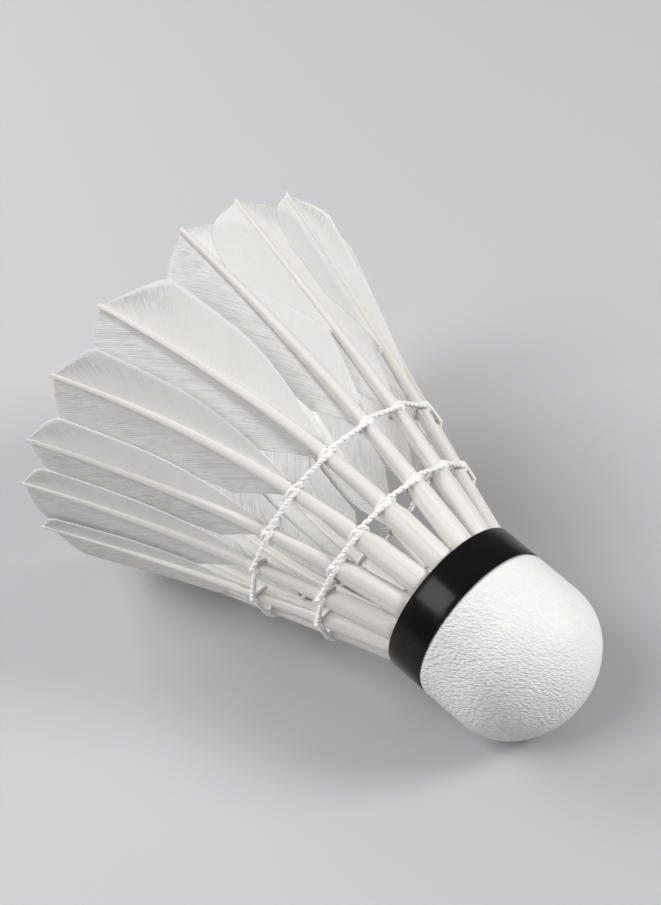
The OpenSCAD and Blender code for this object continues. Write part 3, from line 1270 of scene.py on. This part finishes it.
def makeGlueBead(n, rowZ):
    only()
    bpy.ops.mesh.primitive_ico_sphere_add(subdivisions=glue["detail"], radius=1 * mm)
    bead = named("glueBead")
    middle = rowZ - glue["drop"] * lashing["turnGap"]
    dice = random.Random(n * glue["seeds"] + int(rowZ))
    grow = dice.uniform(*glue["grow"])
    slip = dice.uniform(*glue["slip"])

    def shape(co):
        p = co / mm
        lump = 1 + glue["lump"] * noise.noise(p * glue["lumpRate"] + Vector((n, rowZ, 0)))
        side = slip + p.x * glue["long"] * grow * lump
        z = middle + p.z * glue["tall"] * lump
        face = quillDepth(z) / 2 + glue["rise"]
        return besideQuill(n, z, side, face + p.y * glue["deep"] * grow * lump - glue["round"] * side ** 2)
    warp(bead, shape)
    return bead


def makeLashings():
    profile = makeProfile()
    for name, (rowZ, node) in lashing["rows"].items():
        parts = [sweepStrand(line, profile) for line in strandLines(rowZ)]
        parts += [makeGlueBead(n, rowZ) for n in feathers]
        only(*parts)
        bpy.ops.object.join()
        thread = named(name)
        faceOutwards(thread)
        layDown(thread)
        smooth(thread, lashing["crease"])
        dress(thread, threadFinish, "thread", node)
    bpy.data.objects.remove(profile)


makeLashings()
print("lashings made")

# studio: pale floor, even sky and three soft lamps, given by place, size and power
studio = {
    "floor": rgb(0.44, 0.44, 0.45),
    "floorPale": rgb(0.48, 0.48, 0.49),
    "floorNoise": (3.0, 2.0),
    "floorShare": 0.1,
    "floorRoughness": 0.7,
    "floorSize": 6.0,
    "sky": rgb(1.0, 1.0, 1.0),
    "skyStrength": 0.20,
    "aim": (-0.02, 0, 0.01),
    "lamps": {
        "keyLamp": ((0.528, 0.457, 0.419), 0.26, 5.2),
        "fillLamp": ((-0.112, -0.456, 0.648), 0.45, 3.7),
        "mouthLamp": ((-0.47, -0.12, 0.30), 0.4, 2.3),
    },
}


def makeFloor():
    low = min(cadBox[0].z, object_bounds()[0].z)
    only()
    bpy.ops.mesh.primitive_plane_add(size=studio["floorSize"], location=(0, 0, low))
    floor = named("studioFloor")
    applyPlace()
    material, surface, start = newMaterial("studioFloor")
    grain = placeNoise(start, studio["floorNoise"])
    pale = (grain * studio["floorShare"]).between(studio["floor"], studio["floorPale"])
    start.feed(surface.inputs["Base Color"], pale)
    surface.inputs["Roughness"].default_value = studio["floorRoughness"]
    floor.data.materials.append(material)


def makeLight():
    world = bpy.data.worlds.new("studio")
    bpy.context.scene.world = world
    world.use_nodes = True
    background = world.node_tree.nodes["Background"]
    background.inputs["Color"].default_value = studio["sky"]
    background.inputs["Strength"].default_value = studio["skyStrength"]
    for name, (place, size, power) in studio["lamps"].items():
        bpy.ops.object.light_add(type="AREA", location=place)
        lamp = bpy.context.object
        lamp.name = name
        lamp.data.energy = power
        lamp.data.size = size
        aim = Vector(studio["aim"]) - Vector(place)
        lamp.rotation_mode = "QUATERNION"
        lamp.rotation_quaternion = aim.to_track_quat("-Z", "Y")


# camera: fitted to the photograph
view = {
    "lens": 111.963,
    "sensor": 36.0,
    "near": 0.01,
    "far": 20.0,
    "right": (0.67389, 0.71777, -0.17516),
    "up": (-0.40803, 0.55919, 0.72168),
    "back": (0.61595, -0.41485, 0.66970),
    "place": (0.23732321, -0.17460787, 0.29936848),
}


def makeCamera():
    bpy.ops.object.camera_add()
    camera = bpy.context.object
    camera.name = "photoCamera"
    camera.data.lens = view["lens"]
    camera.data.sensor_width = view["sensor"]
    camera.data.clip_start = view["near"]
    camera.data.clip_end = view["far"]
    stand = Matrix((view["right"], view["up"], view["back"])).transposed().to_4x4()
    stand.translation = view["place"]
    camera.matrix_world = stand
    bpy.context.scene.camera = camera


makeFloor()
makeLight()
makeCamera()
bpy.context.scene.view_settings.view_transform = "Standard"
print("studio and camera set")
